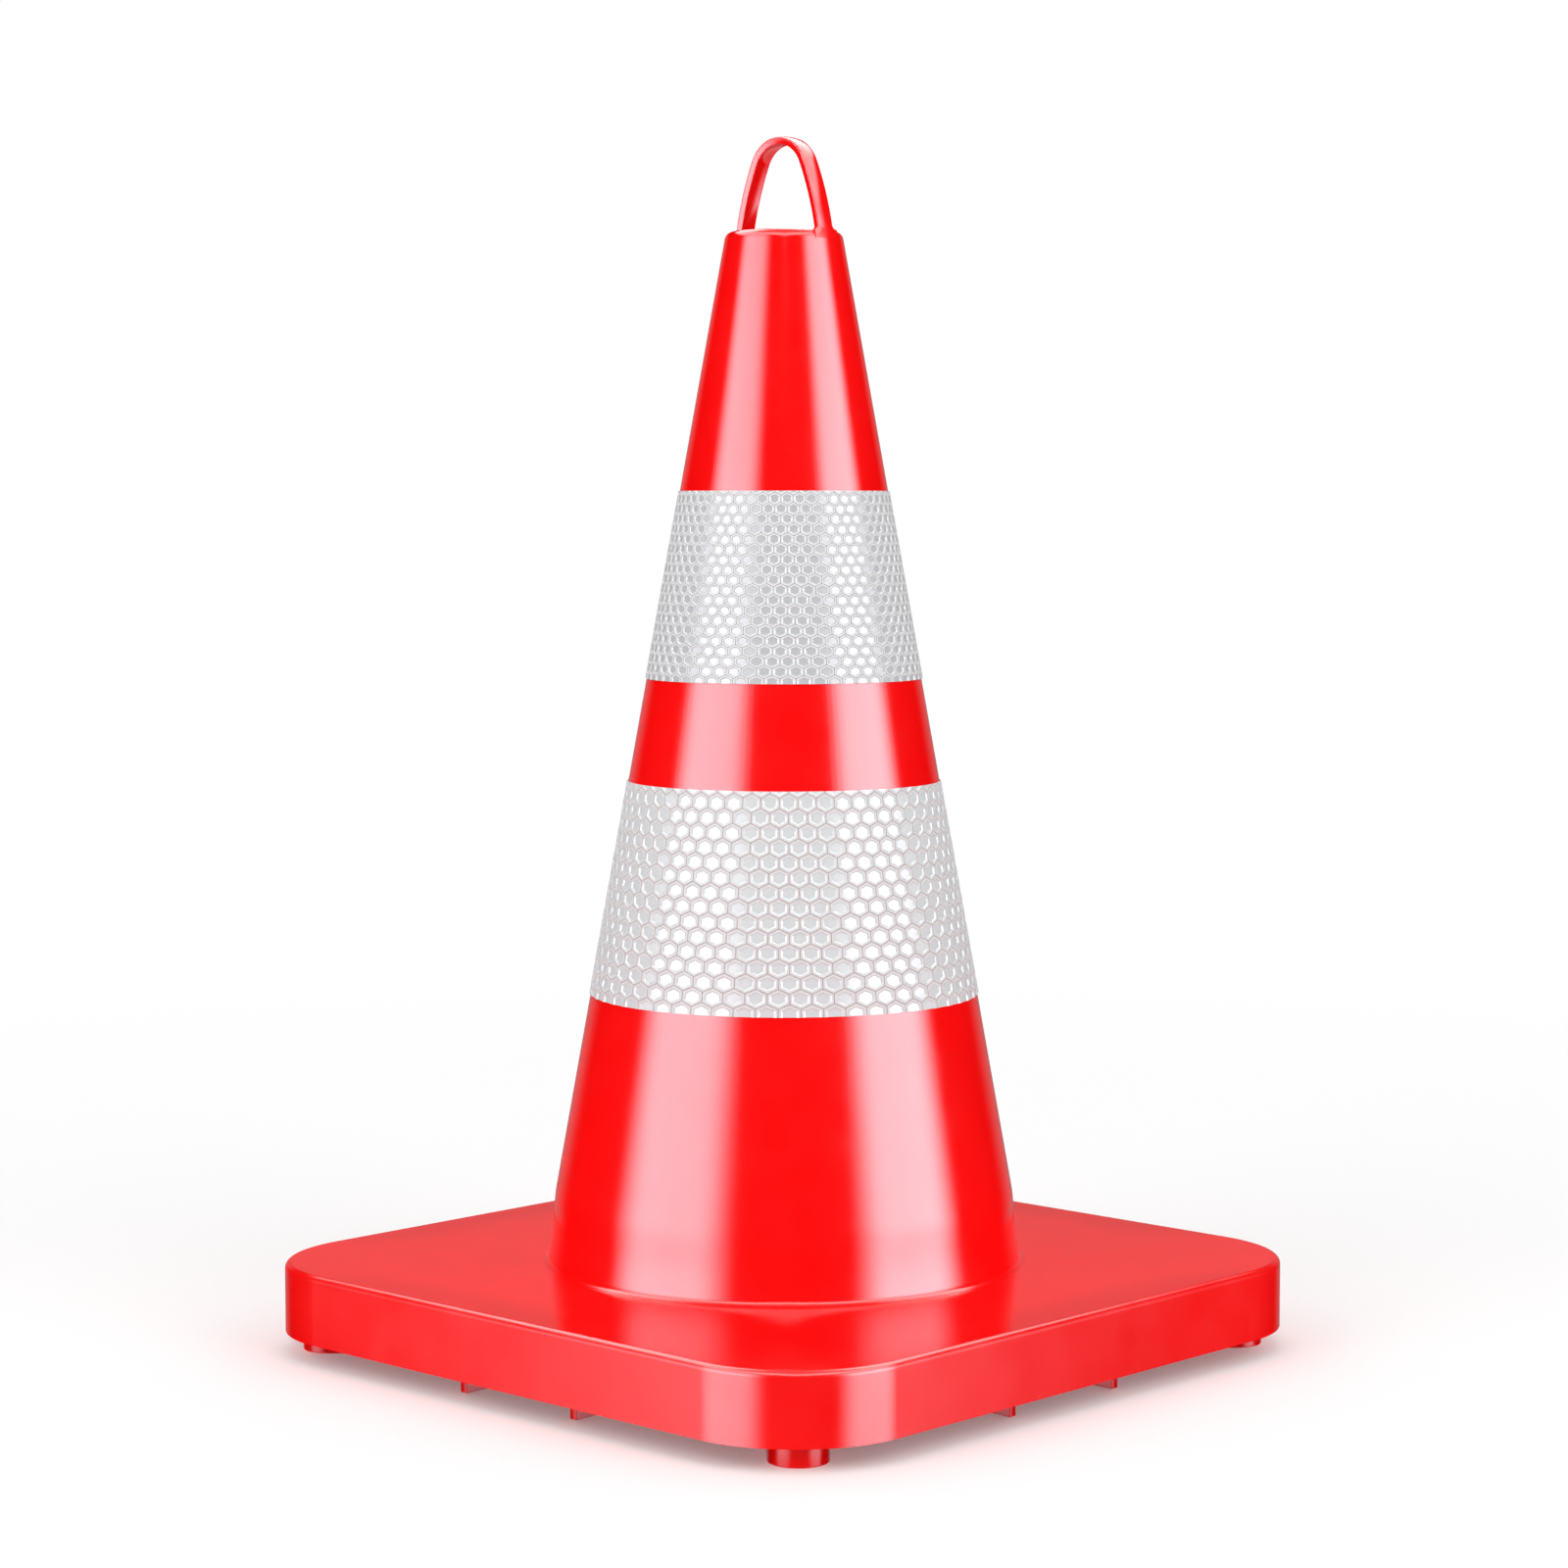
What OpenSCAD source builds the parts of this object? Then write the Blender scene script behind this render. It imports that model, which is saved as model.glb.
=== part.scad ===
// Traffic cone: a tapered hollow shell on a square skirted base, with two
// reflective sleeves and a lifting loop on its open top.
// +Z is up. The origin is on the floor, under the cone's axis.

/* [Base] */
// Side of the square base
base_w = 360; // [345:1:400]
// Radius of the base's corners, seen from above
corner_r = 57; // [45:1:65]
// Height of the skirt
skirt_h = 32; // [28:1:40]
// Radius along the base's top edge
edge_r = 3; // [1.5:0.5:3.5]
// Thickness of the deck and of the skirt
base_wall = 3.5; // [3:0.1:4.5]

/* [Feet and ribs] */
// Drop of the feet below the skirt
foot_drop = 10; // [7:0.5:14]
// Outer width of a foot, across the base's diagonal
foot_w = 26; // [22:1:32]
// Thickness of a foot's wall
foot_wall = 4; // [3:0.5:5]
// Gap between a foot's round end and the skirt's corner, outside to outside
foot_inset = 8; // [6:0.5:14]
// Distance of each rib from the middle of its side
rib_offset = 35; // [28:1:45]
// Thickness of a rib
rib_t = 4; // [3:0.5:5]
// Drop of the ribs below the skirt
rib_drop = 9; // [4:0.5:9]
// Setback of a rib's lower end from the skirt's outer face
rib_setback = 12; // [9:0.5:20]

/* [Cone] */
// Height of the cone from the deck to the top of its rim
cone_h = 472; // [440:1:520]
// Outer radius of the upright band at the cone's foot
band_r = 106.5; // [100:0.5:110]
// Height of the upright band, from the deck
band_h = 28; // [22:1:36]
// Height of the flare at the bottom of the band
flare_h = 16; // [12:1:18]
// Radius of the flare's hollow curve
flare_r = 60; // [50:1:80]
// Radius of the fillet that ends the flare on the deck
foot_fillet = 1.5; // [1:0.1:2.5]
// Outer radius at the rim, below its rounding
rim_r = 27.2; // [26:0.1:29]
// Radius of the rounding around the rim
rim_round = 4; // [2:0.5:4.5]
// Wall of the cone, measured level
cone_wall = 3.5; // [3:0.1:4]
// Radius of the round opening in the top
top_open_r = 22; // [20:0.5:22.5]
// Length of the straight neck below the rim
neck_h = 8; // [6:0.5:14]

/* [Lifting loop] */
// Height of the loop above the rim
loop_h = 43; // [41:0.5:46]
// Radius of the loop's crown, outside
crown_r = 18; // [17:0.5:20]
// Width of the loop's strap
strap_w = 9.6; // [8:0.2:12]
// Thickness of the loop's strap
strap_t = 3.2; // [2.6:0.1:4]
// Radius where the strap flares into the rim
strap_flare_r = 2.5; // [1:0.5:3]

/* [Reflective sleeves] */
// Lower edge of the lower sleeve, from the deck
lower_z = 124; // [110:1:130]
// Height of the lower sleeve
lower_h = 98; // [90:1:105]
// Lower edge of the upper sleeve, from the deck
upper_z = 269; // [250:1:280]
// Height of the upper sleeve
upper_h = 85.5; // [75:0.5:95]
// Thickness of the sleeve's sheet
sheet_t = 1.2; // [0.8:0.1:1.6]
// Width of the welded lap down the back of a sleeve
lap_w = 12; // [8:1:16]
// Direction of the lap, turned from +X to the back
lap_turn = 90; // [60:5:120]

/* [Hidden] */
$fn = 128;

skirt_z = foot_drop;
deck_z = skirt_z + skirt_h;
deck_under = deck_z - base_wall;
rim_z = deck_z + cone_h;
half_w = base_w / 2;

// The straight flank runs from the top of the band to the start of the rounding.
flank_top = cone_h - rim_round;
taper = (band_r - rim_r) / (flank_top - band_h);
taper_angle = atan(taper);
open_r = band_r - cone_wall;
neck_z = cone_h - neck_h;

// The fillet touches both the deck and the flare's curve, whose centre is higher up.
fillet_apart = flare_r - foot_fillet;
fillet_rise = flare_h - foot_fillet;
foot_r = band_r + flare_r - sqrt(fillet_apart * fillet_apart - fillet_rise * fillet_rise);
fillet_top = flare_h - fillet_rise * flare_r / fillet_apart;

// Ribs and feet stop short of the opening, to clear a cone nested from below.
under_clear_r = foot_r + 1.5;

// The loop's sides are arcs that leave the rim along the flank and meet the crown.
leg_r = rim_r - rim_round * taper;
crown_z = loop_h - crown_r;
side_r = (leg_r * leg_r + crown_z * crown_z - crown_r * crown_r)
    / (2 * (leg_r * cos(taper_angle) - crown_z * sin(taper_angle) - crown_r));
side_centre = [leg_r - side_r * cos(taper_angle), -side_r * sin(taper_angle)];
meet_angle = atan2(crown_z - side_centre[1], -side_centre[0]);

red = [0.9, 0.04, 0.04];
sheet_white = [0.88, 0.89, 0.9];

// Outer radius of the flank at a height above the deck.
function flank_r(z) = band_r - (z - band_h) * taper;

// Points along an arc, from one angle to another.
function arc(centre, r, from, to, steps) =
    [for (i = [0:steps])
        let (a = from + (to - from) * i / steps)
        centre + r * [cos(a), sin(a)]];

module rounded_square(w, r) {
    square([w, w - 2 * r], center = true);
    square([w - 2 * r, w], center = true);
    for (x = [-1, 1], y = [-1, 1])
        translate([x, y] * (w / 2 - r)) circle(r);
}

// Half of the cone's outside, as drawn against its axis.
module cone_outline() {
    polygon([
        [0, 0], [band_r, 0], [band_r, band_h], [rim_r, flank_top],
        [leg_r - rim_round, cone_h], [0, cone_h]
    ]);
    rim_rounding();
    foot_flare();
}

// The flare hollows out of the band, and a small fillet ends it on the deck.
module foot_flare() {
    difference() {
        square([foot_r, flare_h]);
        intersection() {
            translate([band_r + flare_r, flare_h]) circle(flare_r);
            translate([band_r, fillet_top]) square([flare_r, flare_h]);
        }
        intersection() {
            translate([foot_r, foot_fillet]) circle(foot_fillet);
            translate([band_r, 0]) square([flare_r, fillet_top]);
        }
    }
}

// The circle that rounds the rim touches the flank and the rim's flat top.
module rim_rounding() {
    centre_z = cone_h - rim_round;
    centre_x = flank_r(centre_z) - rim_round / cos(taper_angle);
    translate([centre_x, centre_z]) circle(rim_round);
}

// Half of the cone's inside: the neck, a slope under it, the flank and the band.
module cone_hollow() {
    slope = (flank_r(neck_z) - cone_wall - top_open_r) / (1 - taper);
    polygon([
        [0, -1], [open_r, -1], [open_r, band_h],
        [top_open_r + slope, neck_z - slope], [top_open_r, neck_z],
        [top_open_r, cone_h + 1], [0, cone_h + 1]
    ]);
}

// The strap's outside and inside in side view, from inside the rim up to the crown.
strap_foot = -rim_round;
strap_outside = concat(
    [[rim_r, strap_foot]],
    arc(side_centre, side_r, taper_angle, meet_angle, 6),
    arc([0, crown_z], crown_r, meet_angle, 90, 12)
);
strap_inside = concat(
    [[rim_r - strap_t, strap_foot]],
    arc(side_centre, side_r - strap_t, taper_angle, meet_angle, 6),
    arc([0, crown_z], crown_r - strap_t, meet_angle, 90, 12)
);

module strap_outline() {
    last = len(strap_inside) - 1;
    polygon(concat(strap_outside, [for (i = [last:-1:0]) strap_inside[i]]));
}

// What the loop's legs take out of the rim, from their inside outwards.
module pocket_outline() {
    inside = [for (i = [0:2]) strap_inside[i]];
    polygon(concat(inside, [[rim_r + 1, inside[2][1]], [rim_r + 1, strap_foot]]));
}

// Front view of the strap: its width, flared by two fillets where it meets the rim.
module strap_front() {
    translate([-strap_w / 2, -rim_round]) square([strap_w, loop_h + rim_round + 1]);
    for (side = [0, 1])
        mirror([side, 0])
            difference() {
                translate([0, -rim_round])
                    square([strap_w / 2 + strap_flare_r, rim_round + strap_flare_r]);
                translate([strap_w / 2 + strap_flare_r, strap_flare_r])
                    circle(strap_flare_r);
            }
}

// A slice of a turned shape, so that the loop's legs follow the rim.
module slice_at_rim() {
    translate([0, 0, rim_z])
        intersection() {
            rotate_extrude() children();
            rotate([90, 0, 90])
                linear_extrude(2 * rim_r + 4, center = true) strap_front();
        }
}

module cone_shell() {
    color(red)
        difference() {
            translate([0, 0, deck_z])
                rotate_extrude()
                    difference() {
                        cone_outline();
                        cone_hollow();
                    }
            slice_at_rim() pocket_outline();
        }
}

module lifting_loop() {
    color(red) slice_at_rim() strap_outline();
}

// One sleeve: a sheet wrapped on the flank, with a lap where its ends are welded.
module sleeve(bottom, height) {
    top = bottom + height;
    lap_angle = lap_w / flank_r(bottom + height / 2) * 180 / PI;
    color(sheet_white)
        translate([0, 0, deck_z]) {
            rotate([0, 0, lap_turn + lap_angle / 2])
                rotate_extrude(angle = 360 - lap_angle) sheet(bottom, top, sheet_t);
            rotate([0, 0, lap_turn - lap_angle / 2])
                rotate_extrude(angle = lap_angle) sheet(bottom, top, 2 * sheet_t);
        }
}

module sheet(bottom, top, thickness) {
    polygon([
        [flank_r(bottom), bottom], [flank_r(bottom) + thickness, bottom],
        [flank_r(top) + thickness, top], [flank_r(top), top]
    ]);
}

module upper_sleeve() {
    sleeve(upper_z, upper_h);
}

module lower_sleeve() {
    sleeve(lower_z, lower_h);
}

// The base's outside: upright sides with the top edge rounded all the way round.
module base_block() {
    inner_half = half_w - corner_r;
    translate([0, 0, skirt_z]) {
        linear_extrude(skirt_h - edge_r) rounded_square(base_w, corner_r);
        linear_extrude(skirt_h) rounded_square(base_w - 2 * edge_r, corner_r - edge_r);
    }
    translate([0, 0, deck_z - edge_r])
        for (turn = [0:90:270])
            rotate([0, 0, turn]) {
                translate([half_w - edge_r, 0, 0])
                    rotate([90, 0, 0]) cylinder(2 * inner_half, r = edge_r, center = true);
                translate([inner_half, inner_half, 0])
                    rotate_extrude(angle = 90)
                        translate([corner_r - edge_r, 0]) circle(edge_r);
            }
}

module base_tray() {
    color(red)
        difference() {
            base_block();
            translate([0, 0, skirt_z - 1])
                linear_extrude(deck_under - skirt_z + 1)
                    rounded_square(base_w - 2 * base_wall, corner_r - base_wall);
            cylinder(deck_z + 1, r = open_r);
        }
}

// One rib in side view: it hangs from the deck and the skirt, and is set back below.
module rib_outline() {
    skirt_inside = half_w - base_wall;
    lower_end = half_w - rib_setback;
    rib_foot = skirt_z - rib_drop;
    polygon([
        [under_clear_r, deck_under], [skirt_inside, deck_under],
        [skirt_inside, skirt_z + 6], [lower_end, skirt_z + 2],
        [lower_end, rib_foot], [under_clear_r, rib_foot]
    ]);
}

module underside_ribs() {
    color(red)
        for (turn = [0:90:270], side = [-1, 1])
            rotate([0, 0, turn])
                translate([0, side * rib_offset, 0])
                    rotate([90, 0, 0])
                        linear_extrude(rib_t, center = true) rib_outline();
}

// One foot in plan: a wall bent round the corner, open towards the cone.
module foot_outline(w, tip) {
    translate([tip - w / 2, 0]) circle(w / 2);
    translate([under_clear_r, -w / 2]) square([tip - w / 2 - under_clear_r, w]);
}

module corner_feet() {
    corner_reach = (half_w - corner_r) * sqrt(2) + corner_r;
    tip = corner_reach - foot_inset;
    color(red)
        for (turn = [45:90:315])
            rotate([0, 0, turn])
                linear_extrude(deck_under)
                    difference() {
                        foot_outline(foot_w, tip);
                        translate([-1, 0])
                            foot_outline(foot_w - 2 * foot_wall, tip - foot_wall + 1);
                    }
}

cone_shell();
lifting_loop();
upper_sleeve();
lower_sleeve();
base_tray();
underside_ribs();
corner_feet();
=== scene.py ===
import math

import bmesh
import bpy
from mathutils import Matrix, Vector


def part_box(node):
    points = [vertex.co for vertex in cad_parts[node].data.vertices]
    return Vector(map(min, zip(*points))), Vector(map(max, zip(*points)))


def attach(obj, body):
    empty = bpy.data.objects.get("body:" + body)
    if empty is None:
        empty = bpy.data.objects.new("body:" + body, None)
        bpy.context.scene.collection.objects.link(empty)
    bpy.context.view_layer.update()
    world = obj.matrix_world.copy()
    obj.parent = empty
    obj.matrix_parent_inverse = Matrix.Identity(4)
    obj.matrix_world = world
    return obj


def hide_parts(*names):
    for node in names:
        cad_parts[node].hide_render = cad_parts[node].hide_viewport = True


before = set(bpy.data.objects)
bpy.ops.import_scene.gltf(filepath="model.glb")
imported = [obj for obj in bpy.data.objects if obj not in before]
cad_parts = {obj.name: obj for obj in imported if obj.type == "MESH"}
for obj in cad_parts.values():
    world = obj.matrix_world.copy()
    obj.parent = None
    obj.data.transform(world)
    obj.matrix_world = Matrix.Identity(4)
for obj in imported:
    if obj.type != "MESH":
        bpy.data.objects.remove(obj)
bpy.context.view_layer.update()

scene = bpy.context.scene
scene.view_settings.view_transform = "Standard"

coneLow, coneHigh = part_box("cone_shell")
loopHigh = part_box("lifting_loop")[1]
trayLow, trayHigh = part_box("base_tray")
deckHeight = coneLow.z
rimHeight = coneHigh.z
print("frame loaded, cone from", round(deckHeight, 4), "to", round(rimHeight, 4))

# Fixed values that all pieces share, in metres and degrees
penSize = 0.001
mergeDistance = 0.00001
shadingGuard = 0.0008         # short ends of a straight run, which keep the shading of a bend in it
smoothAngle = 35              # edges that bend less than this are shaded smooth
facingShare = 0.7             # a face looks along an axis when its normal has more than this of it


def nothingSelected():
    if bpy.context.object and bpy.context.object.mode == "EDIT":
        bpy.ops.object.mode_set(mode="OBJECT")
    bpy.ops.object.select_all(action="DESELECT")


def onlySelected(piece):
    nothingSelected()
    piece.select_set(True)
    bpy.context.view_layer.objects.active = piece


def named(name):
    # The primitive that was just added, with its place put into its mesh
    piece = bpy.context.object
    piece.name = name
    piece.data.name = name
    bpy.ops.object.transform_apply(location=True, rotation=True, scale=True)
    return piece


def pick(piece, kind, isWanted):
    # Selects the faces, edges or vertices that are wanted, and nothing else
    shape = bmesh.from_edit_mesh(piece.data)
    bpy.ops.mesh.select_all(action="DESELECT")
    bpy.ops.mesh.select_mode(type=kind)
    for part in {"FACE": shape.faces, "EDGE": shape.edges, "VERT": shape.verts}[kind]:
        part.select_set(isWanted(part))
    bmesh.update_edit_mesh(piece.data)


def bendsMoreThan(edge, degrees):
    return len(edge.link_faces) == 2 and edge.calc_face_angle(0) > math.radians(degrees)


def penDown(name, point):
    # A plane merged to one vertex, from which an outline is drawn
    nothingSelected()
    bpy.ops.mesh.primitive_plane_add(size=penSize, location=point)
    piece = named(name)
    bpy.ops.object.mode_set(mode="EDIT")
    bpy.ops.mesh.select_mode(type="VERT")
    bpy.ops.mesh.select_all(action="SELECT")
    bpy.ops.mesh.merge(type="CENTER")
    return piece, Vector(point)


def penLine(start, end):
    end = Vector(end)
    bpy.ops.mesh.extrude_region_move(TRANSFORM_OT_translate={"value": end - start})
    return end


def penLineGuarded(start, end):
    # A straight run with short ends, so that the shading of a bend stays in the bend
    way = (Vector(end) - start).normalized() * shadingGuard
    for point in (start + way, Vector(end) - way, Vector(end)):
        start = penLine(start, point)
    return start


def penArc(start, centre, turn, steps, axis=(0, 1, 0)):
    # Spin turns clockwise about its axis, which is anticlockwise in the side view from -Y
    centre = Vector(centre)
    bpy.ops.mesh.spin(steps=steps, angle=turn, center=centre, axis=axis)
    return centre + Matrix.Rotation(-turn, 3, Vector(axis)) @ (start - centre)


def closeMesh():
    bpy.ops.mesh.select_all(action="SELECT")
    bpy.ops.mesh.remove_doubles(threshold=mergeDistance)
    bpy.ops.mesh.normals_make_consistent(inside=False)


def addModifier(piece, kind, **values):
    onlySelected(piece)
    modifier = piece.modifiers.new(kind.title(), kind)
    for key, value in values.items():
        setattr(modifier, key, value)
    bpy.ops.object.modifier_apply(modifier=modifier.name)


def finishPiece(piece, node, material):
    onlySelected(piece)
    bpy.ops.object.shade_smooth_by_angle(angle=math.radians(smoothAngle))
    piece.data.materials.clear()
    piece.data.materials.append(material)
    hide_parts(node)
    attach(piece, "root")
    print(piece.name, "has", len(piece.data.polygons), "faces")


cameraPlace = {
    "turn": 43.4,         # degrees round from the front, to the right
    "distance": 1.70,
    "height": 0.390,
    "aimHeight": 0.262,
    "lens": 85.0,
    "sensorWidth": 36.0,
    "farLimit": 50.0,
}


def roundAbout(turn, distance, height):
    # A place seen from the axis: a turn of 0 is towards the camera, a positive one to its right
    angle = math.radians(cameraPlace["turn"] + turn)
    return Vector((math.sin(angle) * distance, -math.cos(angle) * distance, height))


def aimedAt(place, target):
    return (Vector(target) - Vector(place)).to_track_quat("-Z", "Y").to_euler()


cameraPoint = roundAbout(0, cameraPlace["distance"], cameraPlace["height"])
nothingSelected()
bpy.ops.object.camera_add(
    location=cameraPoint, rotation=aimedAt(cameraPoint, (0, 0, cameraPlace["aimHeight"]))
)
camera = bpy.context.object
camera.name = "camera"
camera.data.lens = cameraPlace["lens"]
camera.data.sensor_width = cameraPlace["sensorWidth"]
camera.data.clip_end = cameraPlace["farLimit"]
scene.camera = camera

studio = {
    "worldLight": 0.75, "stepsRound": 64,
    "floorRadius": 30.0, "floorColour": (0.82, 0.82, 0.82), "floorLift": 0.16,
    "floorPlain": 0.45, "floorWhite": 1.5,     # where the floor begins to fade, and is white
    # Each side panel reaches from one turn to the other, at half its strength
    "leftEdges": (-83, -33), "leftStrength": 11.8,
    "rightEdges": (42, 87.5), "rightStrength": 13.6,
    "panelColour": (1.0, 0.955, 1.05),
    "panelDistance": 5.0, "panelHeight": 9.5, "panelMiddle": 0.8,
    "panelSoftness": (0.38, 0.50),             # across and upwards, as shares of its size
    "topSize": 7.5, "topHeight": 2.8, "topStrength": 5.5, "topSoftness": (0.12, 0.12),
    "topHollow": (0.10, 0.20),                 # open in the middle, over the object
    # Two front lamps and one overhead, which give the plain light on the colours
    "overheadSize": 3.0, "overheadHeight": 2.8, "overheadLight": 9.0,
    "frontTurns": (-50, 50), "frontDistance": 2.6, "frontHeight": 1.5,
    "frontAim": 0.25, "frontSize": 2.4, "frontLight": 2.2,
    "lampSoftness": (0.2, 0.2),
    # Dark cards all round, with a grey one low behind the object
    "cardDistance": 7.4, "cardHeight": 11.3, "cardMiddle": 1.13,
    "backGlow": 0.225, "backGlowHeight": 3.2,
    "backGlowFull": 0.6,                       # up to this share of its height it is even
    "backGlowEdges": (0.70, 0.93),             # from its sides to its middle, in card distances
}


def seenOnlyBy(obj, *rays):
    for ray in ("camera", "diffuse", "glossy", "transmission", "volume_scatter"):
        setattr(obj, "visible_" + ray, ray in rays)


def mathNode(tree, operation, first, second=None):
    node = tree.nodes.new("ShaderNodeMath")
    node.operation = operation
    for socket, value in zip(node.inputs, (first, second)):
        if isinstance(value, (int, float)):
            socket.default_value = value
        elif value:
            tree.links.new(value, socket)
    return node.outputs[0]


def ranged(tree, value, low, high, newLow, newHigh, kind="LINEAR"):
    node = tree.nodes.new("ShaderNodeMapRange")
    node.interpolation_type = kind
    node.inputs["From Min"].default_value = low
    node.inputs["From Max"].default_value = high
    node.inputs["To Min"].default_value = newLow
    node.inputs["To Max"].default_value = newHigh
    tree.links.new(value, node.inputs["Value"])
    return node.outputs[0]


def whiteBehind(tree):
    # 1 for the rays that show the background: the camera's, and those off gloss or through glass
    path = tree.nodes.new("ShaderNodeLightPath")
    seen = mathNode(tree, "MAXIMUM", path.outputs["Is Camera Ray"], path.outputs["Is Glossy Ray"])
    return mathNode(tree, "MAXIMUM", seen, path.outputs["Is Transmission Ray"])


def makeWorld():
    # Soft white light on the object, and plain white behind it
    world = bpy.data.worlds.new("studioWorld")
    scene.world = world
    world.use_nodes = True
    tree = world.node_tree
    tree.nodes.clear()
    output = tree.nodes.new("ShaderNodeOutputWorld")
    mix = tree.nodes.new("ShaderNodeMixShader")
    tree.links.new(whiteBehind(tree), mix.inputs[0])
    for socket, strength in ((1, studio["worldLight"]), (2, 1.0)):
        light = tree.nodes.new("ShaderNodeBackground")
        light.inputs["Color"].default_value = (1, 1, 1, 1)
        light.inputs["Strength"].default_value = strength
        tree.links.new(light.outputs[0], mix.inputs[socket])
    tree.links.new(mix.outputs[0], output.inputs[0])


def makeFloor():
    # A plain pale floor that keeps the shadow and fades to white further out
    nothingSelected()
    bpy.ops.mesh.primitive_circle_add(
        vertices=studio["stepsRound"], radius=studio["floorRadius"], fill_type="NGON"
    )
    floor = named("floor")
    material = bpy.data.materials.new("floorWhite")
    material.use_nodes = True
    tree = material.node_tree
    tree.nodes.clear()
    output = tree.nodes.new("ShaderNodeOutputMaterial")
    paint = tree.nodes.new("ShaderNodeBsdfDiffuse")
    paint.inputs["Color"].default_value = (*studio["floorColour"], 1)
    lift = tree.nodes.new("ShaderNodeEmission")
    lifted = mathNode(tree, "MULTIPLY", whiteBehind(tree), studio["floorLift"])
    tree.links.new(lifted, lift.inputs["Strength"])
    near = tree.nodes.new("ShaderNodeAddShader")
    tree.links.new(paint.outputs[0], near.inputs[0])
    tree.links.new(lift.outputs[0], near.inputs[1])
    far = tree.nodes.new("ShaderNodeEmission")
    place = tree.nodes.new("ShaderNodeTexCoord")
    fromAxis = tree.nodes.new("ShaderNodeVectorMath")
    fromAxis.operation = "LENGTH"
    tree.links.new(place.outputs["Object"], fromAxis.inputs[0])
    fade = tree.nodes.new("ShaderNodeMixShader")
    away = ranged(
        tree, fromAxis.outputs["Value"], studio["floorPlain"], studio["floorWhite"], 0, 1,
        "SMOOTHSTEP",
    )
    tree.links.new(away, fade.inputs[0])
    tree.links.new(near.outputs[0], fade.inputs[1])
    tree.links.new(far.outputs[0], fade.inputs[2])
    # From below the floor is clear, so that the object's underside can be looked at
    side = tree.nodes.new("ShaderNodeNewGeometry")
    clear = tree.nodes.new("ShaderNodeBsdfTransparent")
    both = tree.nodes.new("ShaderNodeMixShader")
    tree.links.new(side.outputs["Backfacing"], both.inputs[0])
    tree.links.new(fade.outputs[0], both.inputs[1])
    tree.links.new(clear.outputs[0], both.inputs[2])
    tree.links.new(both.outputs[0], output.inputs[0])
    floor.data.materials.append(material)
    floor.visible_glossy = False


def addCards():
    # Cards round the set, which only gloss sees: black, to keep the red deep, and grey low behind
    nothingSelected()
    bpy.ops.mesh.primitive_cylinder_add(
        vertices=studio["stepsRound"], radius=studio["cardDistance"],
        depth=studio["cardHeight"], location=(0, 0, studio["cardMiddle"]),
        end_fill_type="NOTHING",
    )
    cards = named("studioCards")
    material = bpy.data.materials.new("studioCard")
    material.use_nodes = True
    tree = material.node_tree
    tree.nodes.clear()
    output = tree.nodes.new("ShaderNodeOutputMaterial")
    glow = tree.nodes.new("ShaderNodeEmission")
    place = tree.nodes.new("ShaderNodeTexCoord")
    behind = tree.nodes.new("ShaderNodeVectorMath")
    behind.operation = "DOT_PRODUCT"
    behind.inputs[1].default_value = roundAbout(180, 1, 0)
    tree.links.new(place.outputs["Object"], behind.inputs[0])
    split = tree.nodes.new("ShaderNodeSeparateXYZ")
    tree.links.new(place.outputs["Object"], split.inputs[0])
    top = studio["backGlowHeight"]
    even = top * studio["backGlowFull"]
    low = ranged(tree, split.outputs["Z"], top, even, 0, studio["backGlow"], "SMOOTHSTEP")
    side, full = (studio["cardDistance"] * share for share in studio["backGlowEdges"])
    back = ranged(tree, behind.outputs["Value"], side, full, 0, 1, "SMOOTHSTEP")
    tree.links.new(mathNode(tree, "MULTIPLY", low, back), glow.inputs["Strength"])
    tree.links.new(glow.outputs[0], output.inputs[0])
    cards.data.materials.append(material)
    seenOnlyBy(cards, "glossy")
    cards.visible_shadow = False


def addPanel(name, place, target, width, height, strength, softness, hollow=None):
    # A soft box whose light fades towards its edges, and in its middle where it is hollow
    nothingSelected()
    bpy.ops.object.light_add(type="AREA", location=place, rotation=aimedAt(place, target))
    panel = bpy.context.object
    panel.name = name
    panel.data.shape = "RECTANGLE"
    panel.data.size = width
    panel.data.size_y = height
    panel.data.energy = strength * width * height * math.pi
    panel.data.use_nodes = True
    tree = panel.data.node_tree
    glow = tree.nodes["Emission"]
    spot = tree.nodes.new("ShaderNodeNewGeometry")
    split = tree.nodes.new("ShaderNodeSeparateXYZ")
    tree.links.new(spot.outputs["Parametric"], split.inputs[0])
    aways = [
        mathNode(tree, "ABSOLUTE", mathNode(tree, "SUBTRACT", split.outputs[axis], 0.5))
        for axis in "XY"
    ]
    fades = [
        ranged(tree, away, 0.5, 0.5 - fade, 0, 1, "SMOOTHERSTEP")
        for away, fade in zip(aways, softness)
    ]
    level = mathNode(tree, "MULTIPLY", *fades)
    if hollow:
        fromMiddle = mathNode(tree, "MAXIMUM", *aways)
        centre = ranged(tree, fromMiddle, *hollow, 0, 1, "SMOOTHSTEP")
        level = mathNode(tree, "MULTIPLY", level, centre)
    tree.links.new(level, glow.inputs["Strength"])
    return panel


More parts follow.
